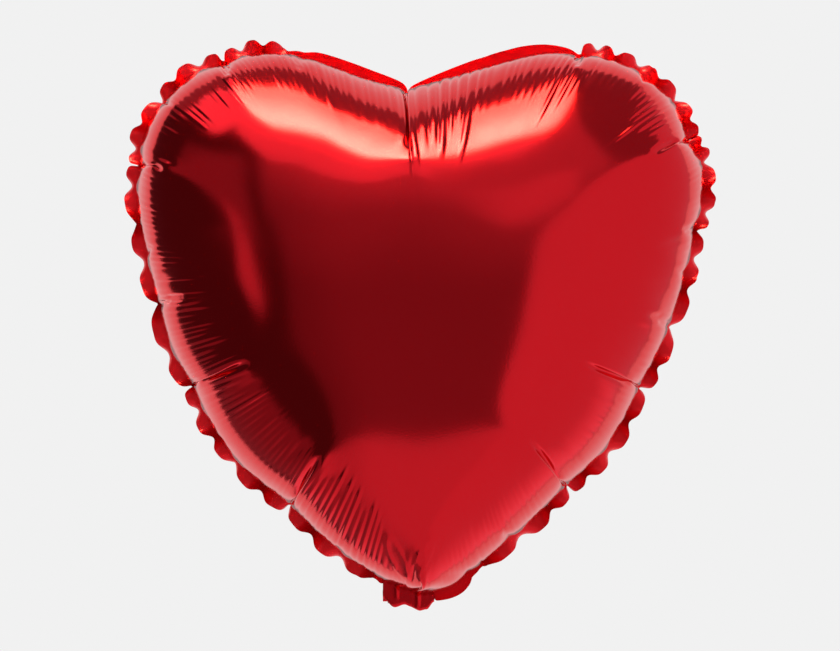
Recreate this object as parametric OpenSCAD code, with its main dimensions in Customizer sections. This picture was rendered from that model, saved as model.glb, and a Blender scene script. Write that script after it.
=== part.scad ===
// Heart-shaped foil balloon, inflated, with its tail folded up behind.
// Units are millimetres and +Z is up. The front film faces -Y.
// The origin is the neck, the middle of the seam at the heart's tip, where a ribbon is tied.

/* [Inflated body] */
// Width of the inflated body, seam to seam
body_width = 355; // [300:5:420]
// Depth from the front film's crown to the rear film's crown
body_depth = 196; // [140:2:230]
// How far the notch lies below the tops of the lobes
notch_depth = 26; // [18:1:34]
// Fullness of the body's section: 2 is an ellipse, more is squarer
section_power = 2.3; // [1.8:0.1:3.2]

/* [Outline] */
// Radius of a lobe as a part of the body's width
lobe_share = 0.235; // [0.225:0.001:0.24]
// Radius of the long side below a lobe as a part of the body's width
side_share = 0.85; // [0.8:0.01:1]
// Radius of the lower side as a part of the body's width
hip_share = 0.78; // [0.72:0.01:0.8]
// Angle below level where a lobe passes into the long side, in degrees
side_start = 4; // [2:1:6]
// Angle below level where the long side passes into the lower side, in degrees
hip_start = 30; // [28:1:34]

/* [Film] */
// Thickness of each film as modelled
film_wall = 0.5; // [0.4:0.05:0.8]
// Gap between the rims of the two panels, which the welded margin fills
rim_gap = 0.5; // [0.5:0.05:0.7]

/* [Welded margin] */
// Thickness of the two welded plies as modelled
margin_wall = 0.4; // [0.3:0.05:0.45]
// Width of the margin outside the seam, between two puckers
margin_width = 5.5; // [4:0.5:8]
// How much further the margin reaches at the middle of a pucker
pucker_rise = 2.0; // [0:0.25:3]
// Number of puckers round the seam, an even number
pucker_count = 46; // [30:2:60]

/* [Tail] */
// Width of the tail where it is folded
tail_width = 35; // [28:1:40]
// Width of the tail at its open mouth
mouth_width = 40; // [30:1:48]
// Length of the tail from its fold to its mouth
tail_length = 46; // [30:1:50]
// How far the fold lies below the neck
fold_drop = 6; // [5:0.5:8]
// Angle by which the folded tail points up behind the body, in degrees
tail_lift = 6; // [0:1:8]
// Width of the sealed strip along each edge of the tail
edge_seal = 3; // [2:0.5:4]

/* [Valve] */
// Width of the valve's films
valve_width = 26; // [16:1:27]
// Height above the neck at which the valve's films come free of each other
valve_root = 5.5; // [5.5:0.5:8]
// Height above the neck at which the valve's films end
valve_top = 80; // [50:1:90]
// Thickness of each valve film as modelled
valve_wall = 0.15; // [0.1:0.05:0.15]

/* [Hidden] */

foil_red = [0.78, 0.02, 0.05];
margin_red = [0.9, 0.03, 0.06];
clear_film = [0.85, 0.9, 0.92];

around = 96;            // points round the seam
rings = 20;             // rings from the seam to the crown of a panel
arc_step = 1;           // degrees between the points of an arc
weld_overlap = 2;       // how far the margin reaches in under the rims
clearance = 0.3;        // gap between bodies that move apart
fold_room = 1.2;        // height left free above the fold, where the tail turns
slip = 0.05;            // gap between films that lie on each other
margin_points = 8 * pucker_count;

// ---- outline of the seam -----------------------------------------------------------------
lobe_radius = lobe_share * body_width;
side_radius = side_share * body_width;
hip_radius = hip_share * body_width;
lobe_x = body_width / 2 - lobe_radius;

function along(angle, length) = [length * cos(angle), length * sin(angle)];

// centres of the three arcs of the right half, with the lobe's centre at height 0
lobe_centre = [lobe_x, 0];
side_centre = lobe_centre + along(-side_start, lobe_radius - side_radius);
hip_centre = side_centre + along(-hip_start, side_radius - hip_radius);

// the notch lies on the line that leaves the lobe at a tangent
notch_raw = [0, lobe_radius - notch_depth];
to_lobe = lobe_centre - notch_raw;
tangent_angle = atan2(to_lobe.y, to_lobe.x) + asin(lobe_radius / norm(to_lobe)) + 90;
tip_angle = -acos(-hip_centre.x / hip_radius);
tip_raw = hip_centre + along(tip_angle, hip_radius);

function arc_points(centre, radius, from, to) =
    let (count = ceil(abs(to - from) / arc_step))
    [for (i = [0 : count]) centre + along(from + (to - from) * i / count, radius)];

right_half = concat(
    [notch_raw],
    arc_points(lobe_centre, lobe_radius, tangent_angle, -side_start),
    arc_points(side_centre, side_radius, -side_start, -hip_start),
    arc_points(hip_centre, hip_radius, -hip_start, tip_angle)
);

// lengths measured along a line of points
function sums(steps, i = 0, total = 0, found = [0]) =
    i == len(steps) ? found
    : sums(steps, i + 1, total + steps[i], concat(found, [total + steps[i]]));
half_sums = sums([for (i = [1 : len(right_half) - 1]) norm(right_half[i] - right_half[i - 1])]);
half_length = half_sums[len(half_sums) - 1];
half_x = [for (i = [0 : len(right_half) - 1]) [half_sums[i], right_half[i].x]];
half_z = [for (i = [0 : len(right_half) - 1]) [half_sums[i], right_half[i].y]];

// point of the seam at a share of its whole length, from the notch down the right side
function seam_point(share) =
    let (right = share <= 0.5, walked = 2 * half_length * (right ? share : 1 - share))
    [(right ? 1 : -1) * lookup(walked, half_x), lookup(walked, half_z) - tip_raw.y];

seam = [for (i = [0 : around - 1]) seam_point(i / around)];

// ---- inflated panels ---------------------------------------------------------------------
crown_drop = 0.6;       // depth of the crown below the lobes' centres, in lobe radii
crown = [0, -lobe_radius * crown_drop - tip_raw.y];
half_depth = body_depth / 2;
rim_y = rim_gap / 2;

// share of the crown's height at a ring, from 0 at the seam to 1 at the crown
function rise(ring) = pow(1 - pow(ring, section_power), 1 / section_power);
// rings stand closer together near the seam, where the section turns
function ring_share(k) = sin(90 * (1 - k / rings));

function skin(shrink) = [
    for (k = [0 : rings - 1]) for (p = seam)
        let (
            ring = ring_share(k),
            inset = 1 - shrink / norm(p - crown),
            q = crown + (p - crown) * ring * inset
        )
        [q.x, -rim_y - (half_depth - rim_y - shrink) * rise(ring), q.y]
];
function crown_point(shrink) = [crown.x, -half_depth + shrink, crown.y];

outer_skin = concat(skin(0), [crown_point(0)]);
inner_skin = concat(skin(film_wall), [crown_point(film_wall)]);
skin_count = around * rings + 1;

// triangles of a skin whose points start at a base number; a rim point is k = 0
function at(base, k, i) = base + k * around + i % around;
function facet(a, b, c, flip) = flip ? [a, c, b] : [a, b, c];
function skin_facets(base, flip) = concat(
    [for (k = [0 : rings - 2]) for (i = [0 : around - 1])
        facet(at(base, k, i), at(base, k, i + 1), at(base, k + 1, i + 1), flip)],
    [for (k = [0 : rings - 2]) for (i = [0 : around - 1])
        facet(at(base, k, i), at(base, k + 1, i + 1), at(base, k + 1, i), flip)],
    [for (i = [0 : around - 1])
        facet(at(base, rings - 1, i), at(base, rings - 1, i + 1), base + skin_count - 1, flip)]
);
rim_facets = [
    for (i = [0 : around - 1]) for (half = [0, 1])
        half == 0 ? [at(0, 0, i + 1), at(0, 0, i), at(skin_count, 0, i)]
        : [at(0, 0, i + 1), at(skin_count, 0, i), at(skin_count, 0, i + 1)]
];

module panel() {
    polyhedron(
        points = concat(outer_skin, inner_skin),
        faces = concat(skin_facets(0, false), skin_facets(skin_count, true), rim_facets)
    );
}

module front_panel() { color(foil_red) panel(); }
module rear_panel() { color(foil_red) mirror([0, 1, 0]) panel(); }

// ---- welded margin -----------------------------------------------------------------------
function margin_reach(share) = margin_width + pucker_rise * (1 - cos(360 * pucker_count * share)) / 2;
function outward(share) =
    let (nudge = 0.002, run = seam_point((share + nudge) % 1) - seam_point((share + 1 - nudge) % 1))
    [-run.y, run.x] / norm(run);
margin_edge = [
    for (i = [0 : margin_points - 1])
        let (share = i / margin_points) seam_point(share) + outward(share) * margin_reach(share)
];

neck_wall = 0.3;
neck_inside = 2 * (clearance + valve_wall + slip);
neck_outside = neck_inside + 2 * neck_wall;
neck_bottom = fold_room - fold_drop;

// a flat outline in the XZ plane, made solid about Y = 0
module upright(thickness) {
    translate([0, thickness / 2, 0]) rotate([90, 0, 0]) linear_extrude(thickness) children();
}
module block(x, y, z_low, z_high) {
    translate([-x / 2, -y / 2, z_low]) cube([x, y, z_high - z_low]);
}

module seam_flange() {
    channel = tail_width - 2 * edge_seal;
    channel_top = valve_root + 2 * weld_overlap;
    color(margin_red) difference() {
        union() {
            upright(margin_wall) difference() {
                polygon(margin_edge);
                offset(delta = -weld_overlap) polygon(seam);
            }
            block(tail_width, neck_outside, neck_bottom, -film_wall);
            block(tail_width, margin_wall, neck_bottom, valve_root);
        }
        block(channel, neck_inside, -fold_drop, channel_top);
    }
}

// ---- tail --------------------------------------------------------------------------------
// The tail is drawn hanging from the fold and then turned up behind the body.
module folded() { translate([0, 0, -fold_drop]) rotate([90 + tail_lift, 0, 0]) children(); }

module tail_outline(width, end_width, from, to) {
    polygon([[-width / 2, -from], [width / 2, -from], [end_width / 2, -to], [-end_width / 2, -to]]);
}
ply_inside = 2 * (valve_wall + 2 * slip);
ply_wall = 0.3;

module tail_ply(side) {
    translate([0, side * (ply_inside + ply_wall) / 2, 0])
        upright(ply_wall) tail_outline(tail_width, mouth_width, clearance, tail_length);
}

module tail_front_ply() { color(foil_red) folded() tail_ply(-1); }

// the rear ply carries the sealed strips along both edges
module tail_rear_ply() {
    seal_wall = ply_inside - slip;
    color(foil_red) folded() union() {
        tail_ply(1);
        translate([0, slip / 2, 0]) upright(seal_wall) difference() {
            tail_outline(tail_width, mouth_width, clearance, tail_length);
            tail_outline(tail_width - 2 * edge_seal, mouth_width - 2 * edge_seal, 0, tail_length + 1);
        }
    }
}

module tail_valve(side) {
    mouth_inset = 4;   // the valve ends this far inside the mouth
    translate([0, side * (slip + valve_wall) / 2, 0])
        upright(valve_wall) tail_outline(valve_width, valve_width, clearance, tail_length - mouth_inset);
}
module tail_valve_front() { color(clear_film) folded() tail_valve(-1); }
module tail_valve_rear() { color(clear_film) folded() tail_valve(1); }

// ---- valve in the neck and inside the body -----------------------------------------------
module valve_film(side, z_low, z_high) {
    translate([-valve_width / 2, (side * (slip + valve_wall) - valve_wall) / 2, z_low])
        cube([valve_width, valve_wall, z_high - z_low]);
}

// both films where they lie together between the sealed sides of the neck
module valve_neck() {
    color(clear_film) {
        valve_film(-1, neck_bottom, valve_root - clearance);
        valve_film(1, neck_bottom, valve_root - clearance);
    }
}
module valve_front_film() { color(clear_film) valve_film(-1, valve_root, valve_top); }
module valve_rear_film() { color(clear_film) valve_film(1, valve_root, valve_top); }

front_panel();
rear_panel();
seam_flange();
tail_front_ply();
tail_rear_ply();
tail_valve_front();
tail_valve_rear();
valve_neck();
valve_front_film();
valve_rear_film();
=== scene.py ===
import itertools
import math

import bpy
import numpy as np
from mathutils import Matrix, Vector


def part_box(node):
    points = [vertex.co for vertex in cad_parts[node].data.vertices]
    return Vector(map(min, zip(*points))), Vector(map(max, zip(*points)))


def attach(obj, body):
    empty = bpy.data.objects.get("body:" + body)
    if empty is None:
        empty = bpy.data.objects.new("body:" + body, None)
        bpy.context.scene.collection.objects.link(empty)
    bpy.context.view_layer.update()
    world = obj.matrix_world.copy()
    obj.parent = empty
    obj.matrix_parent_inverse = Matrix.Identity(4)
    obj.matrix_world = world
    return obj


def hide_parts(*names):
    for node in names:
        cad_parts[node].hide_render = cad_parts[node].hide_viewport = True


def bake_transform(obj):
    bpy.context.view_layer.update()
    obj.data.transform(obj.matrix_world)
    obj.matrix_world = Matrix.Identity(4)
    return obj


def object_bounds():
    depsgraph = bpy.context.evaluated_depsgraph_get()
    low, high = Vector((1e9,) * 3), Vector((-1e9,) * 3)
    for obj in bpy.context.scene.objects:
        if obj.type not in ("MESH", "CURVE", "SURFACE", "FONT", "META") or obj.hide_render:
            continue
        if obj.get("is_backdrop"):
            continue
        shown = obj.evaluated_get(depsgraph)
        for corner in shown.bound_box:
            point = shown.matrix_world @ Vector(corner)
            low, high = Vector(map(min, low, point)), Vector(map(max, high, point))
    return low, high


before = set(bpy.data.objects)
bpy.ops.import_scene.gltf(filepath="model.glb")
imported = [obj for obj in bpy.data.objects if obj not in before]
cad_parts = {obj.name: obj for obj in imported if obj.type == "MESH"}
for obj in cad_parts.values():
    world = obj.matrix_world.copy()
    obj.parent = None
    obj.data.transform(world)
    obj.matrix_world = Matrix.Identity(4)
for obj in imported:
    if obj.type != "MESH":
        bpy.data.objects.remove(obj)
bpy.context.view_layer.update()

# A heart-shaped foil balloon. The two films are cut flat, welded and inflated by a position-based
# simulation in numpy, sized to the CAD body, and then creased and wrinkled along the seam.
# The margin outside the seam and the tail are built on the simulated seam.
# Lengths are in millimetres until a mesh is made, and in metres after that.

MM = 0.001


# ---- flat pattern: x right, z up, tip at z 0 ----
LOBE_CENTRE = np.array([86.5, 293.0])
LOBE_RADIUS = 134.0
NOTCH = np.array([0.0, 419.5])
SIDE_RADIUS = 650.0
SIDE_START = -8.8  # degrees round the lobe where the side's arc takes over
HIP_RADIUS = 316.0
HIP_START = -12.3
CORNER = 8.0  # rounding of the notch and the tip
ARC_POINTS = 200
SIDE_POINTS = 80
LINE_POINTS = 60
FINE = 8192  # points of the outline before it is resampled


def along(angle, length):
    """A step of a length in a direction given in degrees."""
    a = np.radians(angle)
    return np.stack([length * np.cos(a), length * np.sin(a)], axis=-1)


def right_half():
    """Straight from the notch to the lobe, then three tangent arcs down to the tip."""
    side = LOBE_CENTRE + along(SIDE_START, LOBE_RADIUS - SIDE_RADIUS)
    hip = side + along(HIP_START, SIDE_RADIUS - HIP_RADIUS)
    reach = LOBE_CENTRE - NOTCH
    turn = np.arctan2(reach[1], reach[0]) + np.arcsin(LOBE_RADIUS / np.hypot(*reach))
    tip = -np.degrees(np.arccos(-hip[0] / HIP_RADIUS))
    lobe_angles = np.linspace(np.degrees(turn) + 90, SIDE_START, ARC_POINTS)
    lobe_arc = LOBE_CENTRE + along(lobe_angles, LOBE_RADIUS)
    side_arc = side + along(np.linspace(SIDE_START, HIP_START, SIDE_POINTS), SIDE_RADIUS)
    hip_arc = hip + along(np.linspace(HIP_START, tip, ARC_POINTS), HIP_RADIUS)
    line = NOTCH + np.linspace(0, 1, LINE_POINTS)[:-1, None] * (lobe_arc[0] - NOTCH)
    return np.vstack([line, lobe_arc, side_arc[1:], hip_arc[1:]])


def perimeter(ring):
    """Length of a closed ring of points."""
    return np.linalg.norm(np.roll(ring, -1, 0) - ring, axis=1).sum()


def points_at(shares, line):
    """Points at shares of the length of an open line."""
    walked = np.r_[0, np.cumsum(np.linalg.norm(np.diff(line, axis=0), axis=1))]
    at = shares * walked[-1]
    return np.stack([np.interp(at, walked, part) for part in line.T], 1)


def resample(ring, count):
    """A closed ring of points, spaced evenly."""
    return points_at(np.arange(count) / count, np.vstack([ring, ring[:1]]))


def blur_ring(values, width):
    """Gaussian blur round a closed ring; width in samples."""
    turns = np.fft.fftfreq(len(values)) * 2 * np.pi
    gain = np.exp(-0.5 * (turns * width) ** 2)
    gain = gain.reshape((-1,) + (1,) * (values.ndim - 1))
    return np.real(np.fft.ifft(np.fft.fft(values, axis=0) * gain, axis=0))


def outline(count):
    """The weld's line from the notch, clockwise as seen from the front."""
    half = right_half()
    ring = resample(np.vstack([half, half[::-1][1:-1] * [-1, 1]]), FINE)
    ring = blur_ring(ring, CORNER * FINE / perimeter(ring))
    return resample(ring, count)


def outward(ring, width):
    """Unit normals of a closed ring in its plane, blurred over a width in samples."""
    run = np.roll(ring, -1, 0) - np.roll(ring, 1, 0)
    normal = np.stack([-run[:, 1], run[:, 0]], 1)
    normal /= np.linalg.norm(normal, axis=1)[:, None]
    normal = blur_ring(normal, width)
    return normal / np.linalg.norm(normal, axis=1)[:, None]


# ---- the film's mesh ----
CENTRE = np.array([0.0, 235.0])
REACH = 200.0  # depth of the rings that run from the weld to the centre
MARGIN_RINGS = (7.5, 5.0, 2.5)  # distance of the margin's rings outside the weld
SEAM = len(MARGIN_RINGS)  # number of the ring that is the weld
NORMAL_BLUR = 22.0  # of the seam's outward direction
LAST_RING = 0.03  # share of the seam's size at which the rings stop
BOW = 0.6  # how nearly the spokes leave the seam at a right angle; 1 is exactly
SIMULATED_CROWD = 0.62  # points closer than this, in ring steps, are thinned to every second one
DETAILED_CROWD = 0.16
FEWEST = 24  # a ring with this many points isn't thinned


class Film:
    """Rings of points: the margin's, the seam, then each panel's down to its centre."""

    def __init__(self, around, steps, simulated=True):
        self.around = around
        self.crowd = SIMULATED_CROWD if simulated else DETAILED_CROWD
        seam = outline(around)
        self.length = perimeter(seam)
        self.normal = outward(seam, NORMAL_BLUR * around / self.length)
        self.plan = self.plan_rings(steps)
        self.lay_rings(seam)
        if simulated:
            self.link()
            self.weigh()

    def plan_rings(self, steps):
        """Each ring's size as a share of the seam, and its number of points."""
        plan = []
        depth = 0.0
        count = self.around
        for k in itertools.count():
            step = steps[min(k, len(steps) - 1)]
            depth += step
            share = 1 - depth / REACH
            if share < LAST_RING:
                break
            if self.length * share / count < self.crowd * step and count > FEWEST:
                count //= 2
            plan.append((share, count))
        return plan

    def lay_rings(self, seam):
        """The flat points of every ring, and the quads and triangles between the rings."""
        around = self.around
        arm = seam - CENTRE
        bow = BOW * (arm - self.normal * (arm * self.normal).sum(1)[:, None])
        flat = [seam + self.normal * m for m in MARGIN_RINGS] + [seam]
        self.margin_faces = np.vstack([self.band(k, k + 1) for k in range(SEAM)])
        self.rings = [[], []]
        self.quads = [[], []]
        self.corners = [[], []]
        self.centre = []
        base = (SEAM + 1) * around
        for side in (0, 1):
            last = np.arange(around) + SEAM * around
            for share, count in self.plan:
                skip = around // count
                flat.append(CENTRE + share * arm[::skip] + share * (1 - share) * bow[::skip])
                ring = np.arange(count) + base
                base += count
                self.rings[side].append(ring)
                following = np.roll(ring, -1)
                if count == len(last):
                    four = (last, np.roll(last, -1), following, ring)
                    self.quads[side].append(np.stack(four, 1))
                else:
                    even, odd = last[0::2], last[1::2]
                    skew = (odd, np.roll(even, -1), following)
                    for three in ((even, odd, ring), (odd, following, ring), skew):
                        self.corners[side].append(np.stack(three, 1))
                last = ring
            flat.append(CENTRE[None])
            self.centre.append(base)
            three = (last, np.roll(last, -1), np.full(len(last), base))
            self.corners[side].append(np.stack(three, 1))
            base += 1
            self.quads[side] = np.vstack(self.quads[side])
            self.corners[side] = np.vstack(self.corners[side])
        self.flat = np.vstack(flat)
        self.size = base

    def band(self, outer, inner):
        """Quads between two of the rings that have as many points as the seam."""
        a = np.arange(self.around) + outer * self.around
        b = np.arange(self.around) + inner * self.around
        return np.stack([a, np.roll(a, -1), np.roll(b, -1), b], 1)

    def link(self):
        """Edges and quad diagonals, in groups that share no point."""
        quads = np.vstack([self.margin_faces] + self.quads)
        edges = [quads[:, [i, (i + 1) % 4]] for i in range(4)]
        for corners in self.corners:
            edges += [corners[:, [i, (i + 1) % 3]] for i in range(3)]
        edges = np.unique(np.sort(np.vstack(edges), 1), axis=0)
        edges = edges[~np.isin(edges, self.centre).any(1)]
        braces = np.vstack([quads[:, [0, 2]], quads[:, [1, 3]]])
        braces = np.unique(np.sort(braces, 1), axis=0)
        both = np.vstack([edges, braces])
        is_brace = np.arange(len(both)) >= len(edges)
        rest = np.linalg.norm(self.flat[both[:, 0]] - self.flat[both[:, 1]], axis=1)
        taken = [0] * self.size
        group = np.empty(len(both), np.int64)
        for j, (a, b) in enumerate(both.tolist()):
            used = taken[a] | taken[b]
            free = (~used & (used + 1)).bit_length() - 1
            group[j] = free
            taken[a] |= 1 << free
            taken[b] |= 1 << free
        self.groups = []
        for g in range(group.max() + 1):
            k = group == g
            self.groups.append((both[k, 0], both[k, 1], rest[k], is_brace[k]))

    def weigh(self):
        """Triangles that the gas presses on, each with the side that it faces."""
        triangles = []
        facing = []
        for side in (0, 1):
            q = self.quads[side]
            triangles += [q[:, [0, 1, 2]], q[:, [0, 2, 3]], self.corners[side]]
            facing.append(np.full(2 * len(q) + len(self.corners[side]), 1.0 - 2.0 * side))
        self.triangles = np.vstack(triangles)
        a, b, c = (self.flat[self.triangles[:, k]] for k in range(3))
        cross = (b - a)[:, 0] * (c - a)[:, 1] - (b - a)[:, 1] * (c - a)[:, 0]
        self.facing = np.concatenate(facing) * np.sign(np.median(cross))
        thirds = np.repeat(np.abs(cross) / 6, 3)
        per_point = np.bincount(self.triangles.ravel(), thirds, self.size)
        self.point_area = np.median(per_point[SEAM * self.around :])

    def start(self):
        """The flat film, standing upright."""
        return np.stack([self.flat[:, 0], np.zeros(self.size), self.flat[:, 1]], 1)

    def at_seam(self, points):
        """The points of the weld."""
        return points[SEAM * self.around : (SEAM + 1) * self.around]

    def push(self, points):
        """Push of the gas on each point, in units of a typical point's area."""
        a, b, c = (points[self.triangles[:, k]] for k in range(3))
        force = np.cross(b - a, c - a) * (self.facing / 6)[:, None]
        spread = np.repeat(force, 3, axis=0)
        where = self.triangles.ravel()
        total = [np.bincount(where, spread[:, k], self.size) for k in range(3)]
        return np.stack(total, 1) / self.point_area


# ---- inflation ----
BEND = 13.8  # stiffness against bending along a ring
MOST_BEND = 0.05  # cap on its strength in one step
MARGIN_BEND = 8  # the margin is two films welded together, and stiffer by this much
DAMPING = 0.985  # share of its speed that a point keeps in a step
DRIFT_STEPS = 50  # the film is brought back to the middle once in this many steps
BRACE_STRETCH = 0.6  # share of a quad diagonal's stretch that one step takes out
BRACE_PRESS = 0.05  # the same where it is pressed: the film crumples easily


def ring_bend(film, points, amount):
    """Resistance to bending along each ring, so that folds keep a real width."""
    out = np.zeros_like(points)

    def add(part, strength):
        p = points[part]
        curl = np.roll(p, 1, 0) - 2 * p + np.roll(p, -1, 0)
        out[part] -= strength * (np.roll(curl, 1, 0) - 2 * curl + np.roll(curl, -1, 0))

    gap = film.length / film.around
    for k in range(SEAM + 1):
        part = slice(k * film.around, (k + 1) * film.around)
        add(part, min(MARGIN_BEND * amount / gap**4, MOST_BEND))
    for side in (0, 1):
        for (share, count), ring in zip(film.plan, film.rings[side]):
            gap = film.length * share / count
            add(slice(ring[0], ring[-1] + 1), min(amount / gap**4, MOST_BEND))
    return out


def inflate(film, points, steps, first, last, squeeze, pull=None):
    """Film that can't stretch but may crumple, under gas whose push falls from first to last."""
    old = points.copy()
    groups = []
    for i, j, rest, brace in film.groups:
        press = np.where(brace, BRACE_PRESS, squeeze)
        stretch = np.where(brace, BRACE_STRETCH, 1.0)
        groups.append((i, j, rest, stretch / 2, press / 2))
    for step in range(steps):
        done = step / max(steps - 1, 1)
        gas = first * (last / first) ** done
        new = points + (points - old) * DAMPING + film.push(points) * gas
        new += ring_bend(film, points, BEND * gas)
        if pull is not None:
            new += pull(done) * gas
        old, points = points, new
        for i, j, rest, stretch, press in groups:
            d = points[j] - points[i]
            length = np.sqrt(np.einsum("ij,ij->i", d, d))
            over = length - rest
            d *= (np.where(over > 0, stretch, press) * over / length)[:, None]
            points[i] += d
            points[j] -= d
        for side in (0, 1):
            points[film.centre[side]] = points[film.rings[side][-1]].mean(0)
        if step % DRIFT_STEPS == 0:
            drift = points.mean(0) * [1, 1, 0]
            points = points - drift
            old = old - drift
    return points


def cubic(ring, count):
    """Catmull-Rom resampling of a closed ring of points."""
    size = len(ring)
    t = np.arange(count) * size / count
    i = np.floor(t).astype(int)
    f = (t - i)[:, None]
    a, b, c, d = (ring[(i + k) % size] for k in (-1, 0, 1, 2))
    cube = 3 * b - a - 3 * c + d
    square = 2 * a - 5 * b + 4 * c - d
    return 0.5 * (2 * b + (c - a) * f + square * f**2 + cube * f**3)


def refine(coarse, points, fine):
    """The coarse film's shape on the fine film's rings."""
    out = np.zeros((fine.size, 3))
    n = fine.around
    m = coarse.around
    for k in range(SEAM + 1):
        out[k * n : (k + 1) * n] = cubic(points[k * m : (k + 1) * m], n)
    shares = np.array([1.0] + [share for share, count in coarse.plan] + [0.0])
    for side in (0, 1):
        rows = [fine.at_seam(out)] + [cubic(points[r], n) for r in coarse.rings[side]]
        rows = np.array(rows + [np.repeat(points[coarse.centre[side]][None], n, 0)])
        for (share, count), ring in zip(fine.plan, fine.rings[side]):
            j = min(max(np.searchsorted(-shares, -share) - 1, 0), len(shares) - 2)
            gap = shares[j + 1] - shares[j]
            f = (share - shares[j]) / gap
            p, q = rows[j], rows[j + 1]
            before = q - p
            after = q - p
            if j:
                before = (q - rows[j - 1]) / (shares[j + 1] - shares[j - 1]) * gap
            if j + 2 < len(shares):
                after = (rows[j + 2] - p) / (shares[j + 2] - shares[j]) * gap
            ends = (2 * f**3 - 3 * f**2 + 1) * p + (3 * f**2 - 2 * f**3) * q
            slopes = (f**3 - 2 * f**2 + f) * before + (f**3 - f**2) * after
            out[ring] = (ends + slopes)[:: n // count]
        out[fine.centre[side]] = points[coarse.centre[side]]
    return out


# ---- creases ----
# place along the seam from the notch as a share of its length, depth and reach of the crease,
# and the number of puckers of the margin before the next crease; 0 is one long flat pucker, and
# -1 one that the tail pulls flat once the balloon is full
CREASES = (
    (0.0, 3.4, 112, 0),
    (0.0865, 2.0, 30, 2),
    (0.107, 0.9, 9, 3),
    (0.147, 2.0, 34, 2),
    (0.175, 1.0, 12, 2),
    (0.197, 1.5, 20, 3),
    (0.235, 1.6, 24, 3),
    (0.286, 1.7, 28, 2),
    (0.325, 1.7, 28, 4),
    (0.394, 2.0, 36, 3),
    (0.453, 1.8, 30, -1),
    (0.5, 2.0, 12, -1),
    (0.5395, 1.8, 22, 3),
    (0.597, 2.2, 52, 2),
    (0.6355, 1.0, 10, 3),
    (0.683, 2.0, 28, 2),
    (0.734, 1.5, 20, 2),
    (0.7775, 1.5, 18, 2),
    (0.8125, 1.0, 12, 3),
    (0.854, 2.0, 24, 3),
    (0.9, 2.0, 28, 3),
    (0.936, 2.0, 30, 0),
)
CREASE_SHARES = np.array([crease[0] for crease in CREASES])
CREASE_ENDS = np.r_[CREASE_SHARES, 1.0]
SEED_WIDTH = 4.0  # of the pull at one crease
SEED_PULL = 8.0  # in units of the gas's push on a typical point
SEED_WAVE = 0.8  # pull out of the seam's plane, as a share of the inward one
SEED_END = 0.6  # share of the inflation by which the pull has faded


def seeds(film):
    """An inward pull at each crease, which fades as the balloon fills."""
    share = np.arange(film.around) / film.around
    weight = np.zeros(film.around)
    for place in CREASE_SHARES[1:]:
        gap = (share - place + 0.5) % 1 - 0.5
        weight += np.exp(-0.5 * (gap * film.length / SEED_WIDTH) ** 2)
    wave = np.zeros(film.around)
    for (place, depth, reach, puckers), end in zip(CREASES, CREASE_ENDS[1:]):
        here = (share >= place) & (share < end)
        if puckers:
            wave[here] = -np.cos(2 * np.pi * (share[here] - place) / (end - place))
    one_ring = [-film.normal[:, 0] * weight, wave * SEED_WAVE, -film.normal[:, 1] * weight]
    pull = np.zeros((film.size, 3))
    pull[: (SEAM + 1) * film.around] = np.tile(np.stack(one_ring, 1), (SEAM + 1, 1))
    return lambda done: pull * (SEED_PULL * max(0, 1 - done / SEED_END))


def smoothstep(t):
    """0 below 0, 1 above 1, and smooth between."""
    t = np.clip(t, 0, 1)
    return t * t * (3 - 2 * t)


def blur_open(line, width):
    """Gaussian blur of an open line of points whose ends stay where they are."""
    size = len(line)
    extra = min(int(3 * width), size - 1)
    before = 2 * line[0] - line[extra:0:-1]
    after = 2 * line[-1] - line[-2 : -2 - extra : -1]
    long = np.vstack([before, line, after])
    kernel = np.exp(-0.5 * (np.arange(-extra, extra + 1) / width) ** 2)
    kernel /= kernel.sum()
    return np.stack([np.convolve(long[:, k], kernel, "valid") for k in range(3)], 1)


def blur_halves(ring, width):
    """Blur of the ring's right and left halves, which keeps the notch and the tip sharp."""
    half = len(ring) // 2
    out = np.empty_like(ring)
    for first in (0, half):
        index = np.arange(first, first + half + 1) % len(ring)
        line = ring[index]
        smooth = blur_open(line, width)
        smooth += blur_open(line - smooth, width)
        out[index] = smooth
    return out


def calm(film, points, keep, width, reach):
    """Scallops along the seam are kept at a share of their size, and whole beyond reach."""
    out = points.copy()
    for side in (0, 1):
        rings = [np.arange(film.around) + SEAM * film.around] + film.rings[side]
        shares = [1.0] + [share for share, count in film.plan]
        for share, ring in zip(shares, rings):
            depth = (1 - share) * REACH
            if depth > reach:
                break
            part = keep + (1 - keep) * smoothstep(depth / reach)
            smooth = blur_halves(points[ring], width * len(ring) / film.length / share)
            out[ring] = smooth + part * (points[ring] - smooth)
    return out


# ---- the inflated film ----
SEAM_LENGTH = 1366.5
RING_STEP = 1.02  # between the simulated rings, in gaps between the seam's points
MIDDLE_STEPS = [2.6] * 12 + [3.2, 3.8]
DETAILED_STEPS = [1.3] * 4 + [2.0] * 8 + [2.2] * 43 + [2.6, 3.2, 3.8, 4.4]


def inflated():
    """The film simulated coarsely, then more finely, and refined to the final mesh."""
    around, steps = ((256, 1500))
    gap = SEAM_LENGTH / around
    film = Film(around, [gap * RING_STEP])
    start = film.start()
    points = inflate(film, start, steps, first=0.05, last=0.003, squeeze=0.6, pull=seeds(film))
    middle = Film(2 * around, [gap / 2 * RING_STEP] + MIDDLE_STEPS)
    points = refine(film, points, middle)
    points = inflate(middle, points, 300, first=0.004, last=0.0012, squeeze=0.3)
    film = middle
    points = calm(film, points, keep=0.25, width=27.0, reach=100.0)
    fine = Film(1536, DETAILED_STEPS, simulated=False)
    return fine, refine(film, points, fine)


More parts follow.
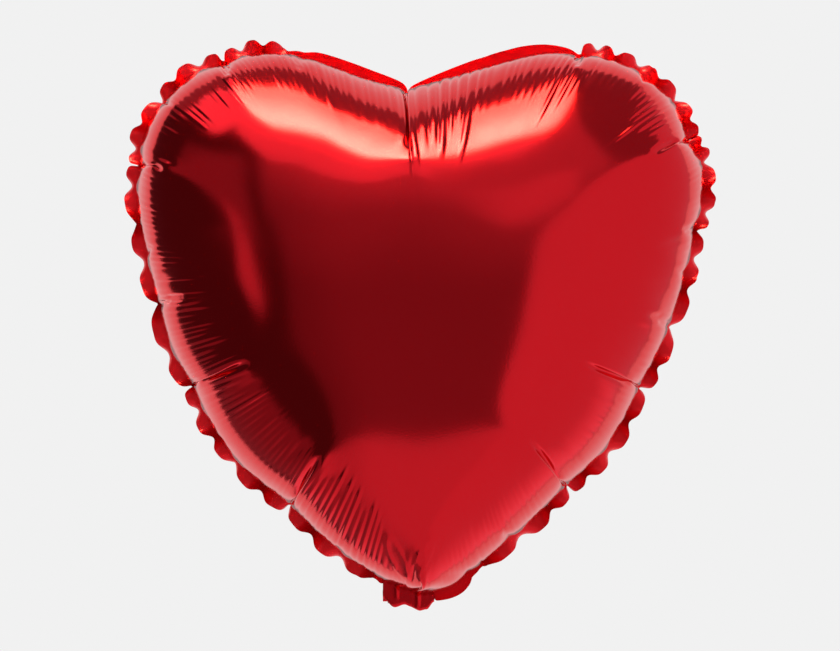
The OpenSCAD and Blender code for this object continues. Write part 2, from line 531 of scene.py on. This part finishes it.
# ---- fit to the CAD body and to the photo's uneven sides ----
RIGHT_SHARE = 0.02  # the right lobe is wider and the left one narrower by this share
LOPSIDED_OVER = 40.0  # distance from the middle over which that sets in
LOWER_IN = 8.0  # the lower right side lies further in by this much
LOWER_BAND = (0, 15, 25, 60)  # at these heights, in the order of between()
LEFT_OUT = 6.0  # the left side above the tip lies further out by this much
LEFT_BAND = (20, 60, 140, 90)
LOBE_OUT = 0.03  # the lobes' sides are fuller by this share
LOBE_FROM = 225.0  # height from which they are
LEFT_UP = 4.5  # the left lobe is lifted by this much, to the height of the right one
PINCH = 3.2  # how far each side of the cleft below the notch is drawn in
CLEFT_HALF = 26.0  # half width of the cleft
CLEFT_DEPTH = 25.0  # it fades out below this depth
CLEFT_FADE = 45.0
ROUNDED_FROM = 90.0  # depth from which the rings are blurred
ROUNDED_OVER = 30.0
ROUNDED = 0.012  # width of that blur, as a share of the ring
PATCH = 20.0  # radius of the smooth patch at the centre, and the width of its soft edge
COLLAR = (18.0, 44.0)  # the film between these radii shapes the patch
PATCH_UNIT = 40.0  # lengths in the patch's cubic are in this unit


def between(values, low, rise, high, fall):
    """1 from low + rise to high, and smoothly 0 below low and above high + fall."""
    return smoothstep((values - low) / rise) * (1 - smoothstep((values - high) / fall))


def smooth_centre(film, points):
    """The inner rings rounded, and the patch round the centre laid on one smooth surface."""
    out = points.copy()
    flat = film.flat.copy()
    for side in (0, 1):
        for (share, count), ring in zip(film.plan, film.rings[side]):
            deep = smoothstep(((1 - share) * REACH - ROUNDED_FROM) / ROUNDED_OVER)
            width = ROUNDED * count * deep
            if width > 0.2:
                out[ring] = blur_ring(out[ring], width)
                flat[ring] = blur_ring(flat[ring], width)
        inside = np.concatenate(film.rings[side] + [[film.centre[side]]])
        x, z = (flat[inside] - CENTRE).T / PATCH_UNIT
        away = np.hypot(x, z) * PATCH_UNIT
        terms = [x**0, x, z, x * x, x * z, z * z, x**3, x * x * z, x * z * z, z**3]
        terms = np.stack(terms, 1)
        collar = (away > COLLAR[0]) & (away < COLLAR[1])
        weights = np.linalg.lstsq(terms[collar], out[inside][collar], rcond=None)[0]
        part = 1 - smoothstep((away - PATCH) / PATCH)
        out[inside] += (terms @ weights - out[inside]) * part[:, None]
    return out


def fitted(film, points):
    """The film brought to the width and depth of the CAD body, with its tip at the CAD's tip."""
    low, high = (np.array(corner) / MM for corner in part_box("front_panel"))
    body = points[SEAM * film.around :]
    wide = (high[0] - low[0]) / np.ptp(body[:, 0])
    deep = -low[1] / np.abs(body[:, 1]).max()
    tall = (high[2] - low[2]) / np.ptp(body[:, 2])
    seam = film.at_seam(points)
    notch = seam[0]
    tip = seam[film.around // 2]
    lean = (points[:, 2] - tip[2]) / (notch[2] - tip[2])
    out = points - [0, 0, body[:, 2].min()]
    x, _, z = out.T
    x -= tip[0] + (notch[0] - tip[0]) * lean
    out *= [wide, deep, tall]
    x += RIGHT_SHARE * (np.hypot(x, LOPSIDED_OVER) - LOPSIDED_OVER)
    # the cleft below the notch
    below = (notch[2] - tip[2]) * tall - z
    near = 1 - smoothstep((below - CLEFT_DEPTH) / CLEFT_FADE)
    x -= PINCH * np.tanh(x / 4) * (np.exp(-((x / CLEFT_HALF) ** 2)) * near)
    # the lower right side, the left side, the sides of the lobes and the left lobe's top
    x -= LOWER_IN * between(z, *LOWER_BAND) * smoothstep((x - 2) / 45)
    x -= LEFT_OUT * between(z, *LEFT_BAND) * smoothstep(-x / 130)
    x *= 1 + LOBE_OUT * smoothstep((z - LOBE_FROM) / 55)
    z += LEFT_UP * smoothstep((z - 200) / 100) * smoothstep((-x - 20) / 50)
    body = out[SEAM * film.around :]
    x *= (high[0] - low[0]) / np.ptp(body[:, 0])
    z *= (high[2] - low[2]) / np.ptp(body[:, 2])
    return out + [0, 0, low[2]]


# ---- wrinkles ----
WRINKLE_PITCH = 5.2  # on average, along the flat seam
WIDE_WRINKLES = 10  # the first ones, right of the notch, are wider
WIDER = 1.4
NEAR_SEAM = 6.0  # wrinkles and creases change over this depth below the seam
AT_SEAM = 0.12  # share of its height that a wrinkle has there
FADES_FROM = 0.72  # share of a wrinkle's reach from which it fades out
# ranges of a wrinkle's pitch, height and reach, as shares, and of the depth over which it rises
PITCHES = (0.7, 1.3)
HEIGHTS = (0.45, 1.0)
REACHES = (0.8, 1.06)
STARTS = (24.0, 40.0)
# strength and reach of the fine wrinkles at places along the seam
COMBS = (
    (0.0, 1.8, 118),
    (0.036, 1.8, 114),
    (0.041, 0.36, 84),
    (0.078, 0.36, 84),
    (0.0865, 0.65, 88),
    (0.1, 0.32, 60),
    (0.137, 0.32, 50),
    (0.147, 0.95, 84),
    (0.16, 0.32, 60),
    (0.19, 0.22, 40),
    (0.28, 0.22, 40),
    (0.325, 0.4, 60),
    (0.39, 0.25, 60),
    (0.43, 0.3, 100),
    (0.47, 0.2, 60),
    (0.49, 0.1, 30),
    (0.51, 0.1, 30),
    (0.535, 0.3, 60),
    (0.545, 0.7, 86),
    (0.585, 0.9, 92),
    (0.6, 0.34, 96),
    (0.65, 0.3, 104),
    (0.676, 0.95, 92),
    (0.684, 0.85, 92),
    (0.7, 0.55, 86),
    (0.76, 0.55, 80),
    (0.778, 0.36, 60),
    (0.845, 0.3, 50),
    (0.858, 0.36, 64),
    (0.895, 0.5, 68),
    (0.905, 0.34, 66),
    (0.93, 0.3, 70),
    (0.945, 0.3, 80),
    (0.98, 0.45, 96),
    (1.0, 0.8, 106),
)


class Wrinkles:
    """Rounded pleats side by side along the seam, each with its own height, start and end."""

    def __init__(self, length, seed):
        random = np.random.default_rng(seed)
        count = int(round(length / WRINKLE_PITCH))
        gaps = random.uniform(*PITCHES, count)
        gaps[:WIDE_WRINKLES] *= WIDER
        self.edges = np.r_[0, np.cumsum(gaps)] / gaps.sum()
        middles = (self.edges[1:] + self.edges[:-1]) / 2
        places = [comb[0] for comb in COMBS]
        strength = np.interp(middles, places, [comb[1] for comb in COMBS])
        reach = np.interp(middles, places, [comb[2] for comb in COMBS])
        self.height = strength * random.uniform(*HEIGHTS, count)
        self.start = random.uniform(*STARTS, count)
        self.end = reach * random.uniform(*REACHES, count)

    def rise(self, share, depth):
        """Height of the wrinkles at places along the seam and depths below it."""
        k = np.searchsorted(self.edges, share % 1, "right") - 1
        k = np.clip(k, 0, len(self.height) - 1)
        t = (share % 1 - self.edges[k]) / (self.edges[k + 1] - self.edges[k])
        into = AT_SEAM * smoothstep(depth / NEAR_SEAM)
        into += (1 - AT_SEAM) * smoothstep((depth - 8) / self.start[k])
        fades = self.end[k] * (1 - FADES_FROM)
        out = 1 - smoothstep((depth - self.end[k] * FADES_FROM) / fades)
        return self.height[k] * np.abs(np.sin(np.pi * t)) * into * out


CREASE_SIZE = 0.75  # share of the depths in CREASES that is laid over the simulated film
CREASE_RUN = 2.4  # a crease has faded out at this many times its reach
CREASE_WIDTH = (1.4, 0.9)  # at the seam, and where it has faded out
CREASE_MOUTH = 0.35  # share of its depth that it loses just below the seam


def crease_fall(share, depth, length):
    """Depth of the sharp valleys that run in from the seam."""
    total = np.zeros_like(share)
    for place, fall, reach, puckers in CREASES:
        gap = np.abs((share - place + 0.5) % 1 - 0.5) * length * (1 - depth / REACH)
        run = np.clip(depth / reach / CREASE_RUN, 0, 1)
        fade = (1 - run) ** 2 * (1 - CREASE_MOUTH * smoothstep(depth / NEAR_SEAM))
        width = CREASE_WIDTH[0] + (CREASE_WIDTH[1] - CREASE_WIDTH[0]) * run
        total = np.maximum(total, CREASE_SIZE * fall * fade * np.exp(-gap / width))
    return total


# centre, half length, half width and tilt in degrees of the two soft loops above the neck
EARS = (((-7.0, 25.0), 13.0, 3.4, 115.0), ((7.5, 23.0), 15.0, 3.2, 62.0))
EAR_RISE = 0.4
EAR_EDGE = 0.24  # width of a loop's line, as a share of the loop


def ears(points):
    """Height of the soft loops pressed into the front film above the neck."""
    total = np.zeros(len(points))
    for (x, z), reach, half, tilt in EARS:
        a = math.radians(tilt)
        u = (points[:, 0] - x) * math.cos(a) + (points[:, 2] - z) * math.sin(a)
        v = (points[:, 2] - z) * math.cos(a) - (points[:, 0] - x) * math.sin(a)
        ring = np.hypot(u / reach, v / half)
        total += EAR_RISE * np.exp(-(((ring - 1) / EAR_EDGE) ** 2))
    return total


def point_normals(points, quads, corners):
    """Outward normals of a panel's points."""
    triangles = np.vstack([quads[:, [0, 1, 2]], quads[:, [0, 2, 3]], corners])
    a, b, c = (points[triangles[:, k]] for k in range(3))
    cross = np.cross(b - a, c - a)
    total = np.zeros_like(points)
    for k in range(3):
        for axis in range(3):
            total[:, axis] += np.bincount(triangles[:, k], cross[:, axis], len(points))
    size = np.linalg.norm(total, axis=1)
    size[size == 0] = 1
    return total / size[:, None]


def detailed(film, points):
    """The film with its creases and wrinkles, and the outward direction along its seam."""
    seam = np.arange(film.around) + SEAM * film.around
    sides = []
    for side in (0, 1):
        normals = point_normals(points, film.quads[side], film.corners[side])
        if normals[film.centre[side], 1] * (1 - 2 * side) > 0:
            normals = -normals
        sides.append(normals)
    rim = sides[0][seam] + sides[1][seam]
    rim[:, 1] = 0
    rim /= np.linalg.norm(rim, axis=1)[:, None]
    out = points.copy()
    share = np.arange(film.around) / film.around
    out[seam] -= rim * crease_fall(share, np.zeros(film.around), film.length)[:, None]
    for side in (0, 1):
        wrinkles = Wrinkles(film.length, seed=5 + side)
        for (size, count), ring in zip(film.plan, film.rings[side]):
            share = np.arange(count) / count
            depth = np.full(count, (1 - size) * REACH)
            height = wrinkles.rise(share, depth) - crease_fall(share, depth, film.length)
            if side == 0:
                height += ears(points[ring])
            out[ring] += sides[side][ring] * height[:, None]
    return out, rim


# ---- meshes ----
def mesh_piece(name, points, faces, material):
    """A smooth mesh from points in millimetres; points that no face uses are dropped."""
    used, place = np.unique(np.concatenate([f.ravel() for f in faces]), return_inverse=True)
    shapes = []
    start = 0
    for f in faces:
        shapes += place[start : start + f.size].reshape(f.shape).tolist()
        start += f.size
    mesh = bpy.data.meshes.new(name)
    mesh.from_pydata((points[used] * MM).tolist(), [], shapes)
    mesh.validate()
    mesh.polygons.foreach_set("use_smooth", [True] * len(mesh.polygons))
    mesh.materials.append(material)
    piece = bpy.data.objects.new(name, mesh)
    bpy.context.scene.collection.objects.link(piece)
    return piece


def grid_faces(rows, columns, closed):
    """Quads of a grid of points; closed joins its last column to its first."""
    index = np.arange(rows * columns).reshape(rows, columns)
    if closed:
        index = np.hstack([index, index[:, :1]])
    a, b = index[:-1, :-1], index[:-1, 1:]
    c, d = index[1:, 1:], index[1:, :-1]
    return np.stack([a.ravel(), b.ravel(), c.ravel(), d.ravel()], 1)


# ---- margin ----
MARGIN_WIDTH = 7.2
MARGIN_ROWS = 12
LEAN = math.radians(76)  # of a pucker's middle, out of the seam's plane
PUCKER_POWER = 2.4  # a higher one is flatter between two puckers
PUCKER_SHIFT = 0.35  # how unevenly they may be spaced
CURL = (0.55, 0.75)  # share of the lean at the seam, and what the edge has more
LENS_LEAN = math.radians(18)  # of the long flat puckers
LENS_WIDTH = (0.6, 6.2)  # at the ends and in the middle of a long flat pucker
LENS_POWER = 0.7
MARGIN_BLUR = 1.6  # softens the margin's lean and width
OUT_BLUR = 6.0  # softens its direction at the seam
NECK_HALF = 16.0  # half of the tail's width where it leaves the seam
NECK_MARGIN = 1.2  # width of the margin at the neck
TIP_HEIGHT = 40.0  # above this the seam isn't at the neck


def margin_shape(count):
    """Lean out of the seam's plane and width of the margin at each point of the seam."""
    share = np.arange(count) / count
    lean = np.zeros(count)
    width = np.full(count, MARGIN_WIDTH)
    turn = np.pi / 2
    random = np.random.default_rng(11)
    for (place, fall, reach, puckers), end in zip(CREASES, CREASE_ENDS[1:]):
        here = (share >= place) & (share < end)
        t = (share[here] - place) / (end - place)
        if puckers <= 0:
            lens = np.sin(np.pi * t) ** LENS_POWER
            lean[here] = LENS_LEAN
            width[here] = LENS_WIDTH[0] + (LENS_WIDTH[1] - LENS_WIDTH[0]) * lens
            turn = np.pi / 2
            continue
        bend = random.uniform(-PUCKER_SHIFT, PUCKER_SHIFT)
        t = t + bend * t * (1 - t)
        wave = np.sin(turn + np.pi * puckers * t)
        lean[here] = LEAN * np.sign(wave) * np.abs(wave) ** PUCKER_POWER
        width[here] = MARGIN_WIDTH * (1 - 0.12 * np.cos(2 * np.pi * t))
        turn += np.pi * puckers
    blur = MARGIN_BLUR * count / SEAM_LENGTH
    return blur_ring(lean, blur), blur_ring(width, blur)


def margin_points(film, points, rim):
    """Rows of points from the seam out to the margin's edge; it is flat and narrow at the neck."""
    seam = film.at_seam(points)
    lean, width = margin_shape(film.around)
    free = smoothstep((np.abs(seam[:, 0]) - NECK_HALF + 3) / 4)
    free[seam[:, 2] > TIP_HEIGHT] = 1
    width = NECK_MARGIN + (width - NECK_MARGIN) * free
    lean = lean * free
    out = blur_ring(rim, OUT_BLUR * film.around / film.length)
    out /= np.linalg.norm(out, axis=1)[:, None]
    front = np.array([0.0, -1.0, 0.0])
    rows = [seam.copy()]
    step = width / MARGIN_ROWS
    for k in range(MARGIN_ROWS):
        angle = lean * (CURL[0] + CURL[1] * (k + 0.5) / MARGIN_ROWS)
        run = out * np.cos(angle)[:, None] + front * np.sin(angle)[:, None]
        rows.append(rows[-1] + run * step[:, None])
    return np.array(rows)


# ---- tail ----
HINGE_Z = -6.0
TAIL_RISE = math.tan(math.radians(6))
TAIL_ROWS = 84
TAIL_COLUMNS = 71
TAIL_JOIN = 9.0  # behind this the tail is straight
TAIL_END = 46.0  # how far behind the seam its mouth is
NECK_LIFT = 0.8  # the plies start this far above the weld, so that no slit shows
WIDENS = 0.6  # half of the mouth's width less half of the neck's
CURVE_POINTS = 24  # of each part of a ply's line
PLY_GAP = (0.5, 0.06)  # of a ply from the tail's middle plane: its swell, and its least
PLY_START = 0.45  # least distance of a ply from the seam's plane where it starts
RIPPLE = 0.16  # height of the front ply's random ripples
GATHERS = (-7.5, 5.7)  # where two sharper gathers are, across the front of the fold
GATHER = 1.6  # their depth
SMALL_GATHER = 0.25
SMALL_PITCH = 4.6
# lowest line of the fold, from the tail's left edge to its right one
FOLD_LINE = ((-1.0, -3.2), (-0.55, -8.6), (-0.15, -7.0), (0.45, -10.6), (0.7, -10.0), (1.0, -5.2))


def bezier(a, b, c, d):
    """A cubic curve from a to d."""
    t = np.linspace(0, 1, CURVE_POINTS)[:, None]
    return a * (1 - t) ** 3 + 3 * b * t * (1 - t) ** 2 + 3 * c * t**2 * (1 - t) + d * t**3


def fold_depth(u):
    """A smooth line through the points of FOLD_LINE."""
    for (left, start), (right, end) in zip(FOLD_LINE, FOLD_LINE[1:]):
        if u <= right:
            return start + (end - start) * smoothstep((u - left) / (right - left))
    return FOLD_LINE[-1][1]


def tail_column(u, y, z, side):
    """The line of one ply from the seam, round the fold and back to the mouth, as (y, z)."""
    gap = PLY_GAP[0] * (1 - u**4) + PLY_GAP[1]
    lift = gap if side else -gap
    start = np.array([max(y, PLY_START) if side else min(y, -PLY_START), z])
    join = np.array([TAIL_JOIN, HINGE_Z + TAIL_JOIN * TAIL_RISE + lift])
    mouth = join + (TAIL_END - TAIL_JOIN) * np.array([1, TAIL_RISE])
    if side:
        low = np.array([1.4, -5.0])
        round_in = np.array([0.9, 0.5])
    else:
        low = np.array([0.9, fold_depth(u)])
        round_in = np.array([2.6, 0.1])
    leave = start - [0.5 * (1 - side), 0.5 * (z - low[1])]
    down = bezier(start, leave, low - round_in * [1, -1], low)
    back = bezier(low, low + round_in * [1.4, 0], join - [4.0, 4.0 * TAIL_RISE], join)
    line = join + np.linspace(0, 1, CURVE_POINTS)[:, None] * (mouth - join)
    return points_at(np.linspace(0, 1, TAIL_ROWS), np.vstack([down, back[1:], line[1:]]))


def tail_points(film, points, side):
    """One ply of the tail, from the seam at the neck to the mouth."""
    tip = film.at_seam(points)[int(film.around * 0.44) : int(film.around * 0.56)]
    tip = tip[np.argsort(tip[:, 0])]
    random = np.random.default_rng(23 + side)
    phases = random.uniform(0, 2 * np.pi, 5)
    pitches = random.uniform(4.5, 9.0, 5)
    grid = np.empty((TAIL_ROWS, TAIL_COLUMNS, 3))
    along_tail = np.linspace(0, 1, TAIL_ROWS)
    half = NECK_HALF + WIDENS * smoothstep((along_tail - 0.3) / 0.7)
    for j, u in enumerate(np.linspace(-1, 1, TAIL_COLUMNS)):
        x = NECK_HALF * u
        y, z = (np.interp(x, tip[:, 0], tip[:, k]) for k in (1, 2))
        grid[:, j, 0] = half * u
        grid[:, j, 1:] = tail_column(u, y, z + NECK_LIFT, side)
        if side == 0:
            ripple = sum(np.sin(2 * np.pi * half * u / p + q) for p, q in zip(pitches, phases))
            size = RIPPLE * (1 - u**4) * smoothstep(along_tail / 0.1) * (1 - 0.7 * along_tail)
            grid[:, j, 2] += (ripple - 0.4 * abs(ripple)) * size
            ridges = sum(np.exp(-(((x - place) / 1.3) ** 2)) for place in GATHERS)
            small = abs(np.sin(np.pi * (x + 1.2) / SMALL_PITCH))
            gathers = GATHER * ridges + SMALL_GATHER * small
            near = smoothstep(along_tail / 0.04) * (1 - smoothstep(along_tail / 0.22))
            grid[:, j, 1] -= gathers * near
    return grid


# ---- materials ----
def fill(node, **values):
    """Sets a node's properties, and its inputs by their names."""
    for name, value in values.items():
        if hasattr(node, name):
            setattr(node, name, value)
        else:
            node.inputs[name.replace("_", " ")].default_value = value


class Nodes:
    """A short way to write a node tree."""

    def __init__(self, tree):
        self.tree = tree

    def add(self, kind, **values):
        node = self.tree.nodes.new(kind)
        fill(node, **values)
        return node

    def join(self, output, socket):
        self.tree.links.new(output, socket)


def new_material(name):
    """A material with its node tree and its shader."""
    material = bpy.data.materials.new(name)
    material.use_nodes = True
    nodes = Nodes(material.node_tree)
    shader = material.node_tree.nodes["Principled BSDF"]
    return material, nodes, shader


def cloud(nodes, shader, scale, low, high):
    """Faint clouds, which take the roughness from low to high."""
    place = nodes.add("ShaderNodeTexCoord").outputs["Object"]
    clouds = nodes.add("ShaderNodeTexNoise", Scale=scale, Detail=3.0)
    nodes.join(place, clouds.inputs["Vector"])
    haze = nodes.add("ShaderNodeMapRange", To_Min=low, To_Max=high)
    nodes.join(clouds.outputs["Fac"], haze.inputs["Value"])
    nodes.join(haze.outputs["Result"], shader.inputs["Roughness"])
    return place, clouds.outputs["Fac"]


def emboss(nodes, shader, height, strength, distance):
    """A bump of a texture's height."""
    bump = nodes.add("ShaderNodeBump", Strength=strength, Distance=distance)
    nodes.join(height, bump.inputs["Height"])
    nodes.join(bump.outputs["Normal"], shader.inputs["Normal"])


def foil_material(name, colour, roughness, coat, grain, metal=1.0):
    """Metallised film: a mirror with a red tint, faint clouding and the film's fine grain."""
    material, nodes, shader = new_material(name)
    place, clouds = cloud(nodes, shader, 14.0, roughness * 0.8, roughness * 1.25)
    tint = nodes.add("ShaderNodeValToRGB")
    first, last = tint.color_ramp.elements
    first.color = (colour[0] * 0.93, colour[1] * 0.9, colour[2] * 0.9, 1)
    last.color = (*colour, 1)
    nodes.join(clouds, tint.inputs["Fac"])
    nodes.join(tint.outputs["Color"], shader.inputs["Base Color"])
    fine = nodes.add("ShaderNodeTexNoise", Scale=900.0, Detail=2.0)
    nodes.join(place, fine.inputs["Vector"])
    emboss(nodes, shader, fine.outputs["Fac"], grain, 0.0001)
    fill(shader, Metallic=metal, Specular_IOR_Level=0.3, Coat_Weight=coat, Coat_Roughness=0.06)
    return material


def clear_material(name):
    """Clear film with faint clouding."""
    material, nodes, shader = new_material(name)
    place, clouds = cloud(nodes, shader, 60.0, 0.06, 0.2)
    emboss(nodes, shader, clouds, 0.2, 0.0002)
    fill(shader, Base_Color=(0.85, 0.9, 0.92, 1), Alpha=0.35)
    return material


FOIL = foil_material("red_foil", (0.76, 0.014, 0.020), 0.12, 0.15, 0.25)
MARGIN = foil_material("welded_red_foil", (0.86, 0.002, 0.008), 0.32, 0.1, 0.6, metal=0.4)
TAIL = foil_material("red_tail_foil", (0.76, 0.006, 0.012), 0.2, 0.15, 0.5, metal=0.85)

film, points = inflated()
points = smooth_centre(film, points)
points = fitted(film, points)
points, rim = detailed(film, points)
front_film = mesh_piece("front_film", points, [film.quads[0], film.corners[0]], FOIL)
rear_film = mesh_piece("rear_film", points, [film.quads[1], film.corners[1]], FOIL)
rows = margin_points(film, points, rim)
faces = grid_faces(len(rows), film.around, closed=True)
margin = mesh_piece("welded_margin", rows.reshape(-1, 3), [faces], MARGIN)
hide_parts("front_panel")
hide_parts("rear_panel")
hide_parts("seam_flange")
for piece in (front_film, rear_film, margin):
    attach(piece, "envelope")

for side, ply in enumerate(("front", "rear")):
    grid = tail_points(film, points, side)
    faces = grid_faces(TAIL_ROWS, TAIL_COLUMNS, closed=False)
    tail = mesh_piece(f"tail_{ply}_film", grid.reshape(-1, 3), [faces], TAIL)
    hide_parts(f"tail_{ply}_ply")
    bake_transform(tail)

CLEAR = clear_material("clear_valve_film")
VALVE = ("tail_valve_front", "tail_valve_rear", "valve_neck", "valve_front_film", "valve_rear_film")
for node in VALVE:
    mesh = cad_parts[node].data
    mesh.materials.clear()
    mesh.materials.append(CLEAR)


# ---- studio ----
WHITE = (1.0, 1.0, 1.0, 1)
PALE = (1.0, 0.985, 0.98, 1)  # the room behind the balloon
CARD = (1.0, 0.72, 0.9, 1)  # the soft panels
WARM = (1.0, 0.72, 0.42, 1)  # the lamp overhead
DEGREES = 57.3  # in a radian
BACKDROP = 0.88  # brightness of the room for all that isn't a mirrored ray


def studio_world():
    """A pale room, dark towards the camera, with soft panels above, to the right and below."""
    world = bpy.data.worlds.new("studio")
    world.use_nodes = True
    bpy.context.scene.world = world
    nodes = Nodes(world.node_tree)
    background = world.node_tree.nodes["Background"]
    place = nodes.add("ShaderNodeTexCoord")
    split = nodes.add("ShaderNodeSeparateXYZ")
    nodes.join(place.outputs["Generated"], split.inputs["Vector"])
    x, y, z = (split.outputs[k] for k in range(3))

    def feed(socket, value):
        if isinstance(value, (int, float, tuple)):
            socket.default_value = value
        else:
            nodes.join(value, socket)

    def sums(kind, a, b=0.0):
        node = nodes.add("ShaderNodeMath", operation=kind)
        feed(node.inputs[0], a)
        feed(node.inputs[1], b)
        return node.outputs[0]

    def plus(a, b):
        return sums("ADD", a, b)

    def times(a, *others):
        for b in others:
            a = sums("MULTIPLY", a, b)
        return a

    def without(mask):
        return sums("SUBTRACT", 1.0, mask)

    def either(*masks):
        found = masks[0]
        for mask in masks[1:]:
            found = sums("MAXIMUM", found, mask)
        return found

    def step(value, low, high):
        """0 below low, 1 above high, and smooth between."""
        node = nodes.add("ShaderNodeMapRange", From_Min=low, From_Max=high)
        node.interpolation_type = "SMOOTHSTEP"
        nodes.join(value, node.inputs["Value"])
        return node.outputs["Result"]

    def window(value, low, high, soft):
        """1 between low and high."""
        over = step(value, low - soft, low + soft)
        return times(over, without(step(value, high - soft, high + soft)))

    def half_space(a, b, c, soft):
        """1 where a x + b z + c t is over 0, with t towards the camera."""
        total = plus(plus(times(x, a), times(z, b)), times(toward, c))
        return step(total, -soft, soft)

    def mixed(mask, a, b):
        """Colour a where the mask is 0 and colour b where it is 1."""
        node = nodes.add("ShaderNodeMix", data_type="RGBA")
        feed(node.inputs[0], mask)
        feed(node.inputs[6], a)
        feed(node.inputs[7], b)
        return node.outputs[2]

    # degrees to the right of the camera, above the horizon, and away from the camera
    toward = times(y, -1.0)
    azimuth = times(sums("ARCTAN2", x, toward), DEGREES)
    height = times(sums("ARCSINE", z), DEGREES)
    away = times(sums("ARCCOSINE", toward), DEGREES)
    # places on a flat ceiling one unit up
    overhead = sums("MAXIMUM", z, 0.02)
    across = sums("DIVIDE", x, overhead)
    ahead = sums("DIVIDE", toward, overhead)
    above = step(z, 0.02, 0.08)

    # the pale room behind the balloon
    surround = step(plus(away, times(sums("MAXIMUM", z, 0.0), 8.0)), 116, 120)
    # panels to the right, below, at the lower left, in front, at the left, and two small ones
    right = times(half_space(1.0, 0.0, -0.466, 0.04), half_space(1.11, -1.0, -0.28, 0.06), 0.72)
    low = times(half_space(0.0, -1.0, -0.67, 0.05), half_space(1.0, -0.55, 0.0, 0.15))
    rise = times(step(away, 80, 125), step(times(z, -1.0), 0.3, 0.6), 0.5)
    low = times(low, plus(rise, 0.66))
    corner = times(window(azimuth, -125, -62, 6), window(height, -62, -20, 6))
    corner = times(corner, plus(times(step(times(height, -1.0), 35, 58), 0.15), 0.22))
    middle = plus(times(step(height, 0, 14), 0.1), times(step(height, 14, 32), 0.22))
    middle = times(window(azimuth, -33, 40, 4), plus(middle, 0.235))
    middle = times(middle, plus(times(step(times(azimuth, -1.0), 8, 35), -0.3), 1.0))
    left = times(window(azimuth, -76, -36, 5), window(height, 5, 32, 5), 0.26)
    streak = times(window(azimuth, -50, -40, 3), window(height, -6, 9, 4), 0.55)
    glow = times(window(azimuth, 13, 33, 6), window(height, 14, 33, 5), 0.7)
    # panels on the ceiling
    panel = times(window(ahead, 0.42, 1.45, 0.07), window(across, -0.8, 0.3, 0.07), above)
    panel = times(panel, plus(times(step(ahead, 0.5, 1.3), -0.2), 1.2))
    wing = times(window(across, -1.0, -0.3, 0.06), window(ahead, -0.1, 0.7, 0.06), above, 1.4)
    roof = times(window(ahead, -1.5, 0.1, 0.05), window(across, -1.3, 0.5, 0.1), above, 0.32)
    end = times(window(ahead, -1.5, 1.5, 0.2), window(across, 0.26, 1.4, 0.1), above, 0.26)
    found = either(right, low, corner, middle, left, streak, glow, panel, wing, roof, end)
    cards = times(found, without(surround))
    # the lamp on the ceiling, brighter towards the camera
    hot = times(step(ahead, 0.0, 0.07), without(step(ahead, 0.55, 0.76)))
    hot = times(hot, window(across, -0.37, 0.26, 0.05), above)
    heat = plus(times(step(ahead, 0.08, 0.58), 26.0), 12.0)
    heat = times(heat, plus(times(step(across, 0.04, 0.25), -0.55), 1.0))
    # a duller patch straight behind the balloon
    behind = times(step(away, 150, 160), window(height, -30, 28, 10))
    pale = times(surround, plus(times(behind, -0.65), 0.95))
    light = either(pale, cards, times(hot, heat), 0.07)
    tone = mixed(step(hot, 0.0, 0.04), mixed(surround, CARD, PALE), WARM)

    path = nodes.add("ShaderNodeLightPath")
    glossy = path.outputs["Is Glossy Ray"]
    feed(background.inputs["Color"], mixed(glossy, WHITE, tone))
    plain = times(without(glossy), BACKDROP)
    feed(background.inputs["Strength"], either(times(glossy, light), plain))
    world.cycles.sampling_method = "NONE"


FLOOR_RADIUS = 3000.0
FLOOR_DEPTH = 400.0  # below the balloon's tip
FLOOR_POINTS = 96


def floor():
    """A round pale floor well below the balloon."""
    material, _, shader = new_material("floor_paint")
    fill(shader, Base_Color=(0.86, 0.86, 0.86, 1), Roughness=0.9)
    angle = np.linspace(0, 2 * np.pi, FLOOR_POINTS, endpoint=False)
    ring = FLOOR_RADIUS * np.stack([np.cos(angle), np.sin(angle), 0 * angle], 1)
    faces = [np.arange(FLOOR_POINTS)[None]]
    plate = mesh_piece("floor", ring - [0, 0, FLOOR_DEPTH], faces, material)
    plate.visible_glossy = False
    plate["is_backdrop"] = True


VIEW_DISTANCE = 2.4  # metres
LENS = 165.0


def camera():
    """A long lens straight in front of the balloon."""
    low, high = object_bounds()
    centre = (low + high) / 2
    data = bpy.data.cameras.new("camera")
    data.lens = LENS
    data.sensor_width = 36.0
    eye = bpy.data.objects.new("camera", data)
    bpy.context.scene.collection.objects.link(eye)
    eye.location = (centre[0], centre[1] - VIEW_DISTANCE, centre[2])
    eye.rotation_euler = (math.radians(90), 0, 0)
    bpy.context.scene.camera = eye


studio_world()
floor()
camera()
bpy.context.scene.view_settings.view_transform = "Standard"
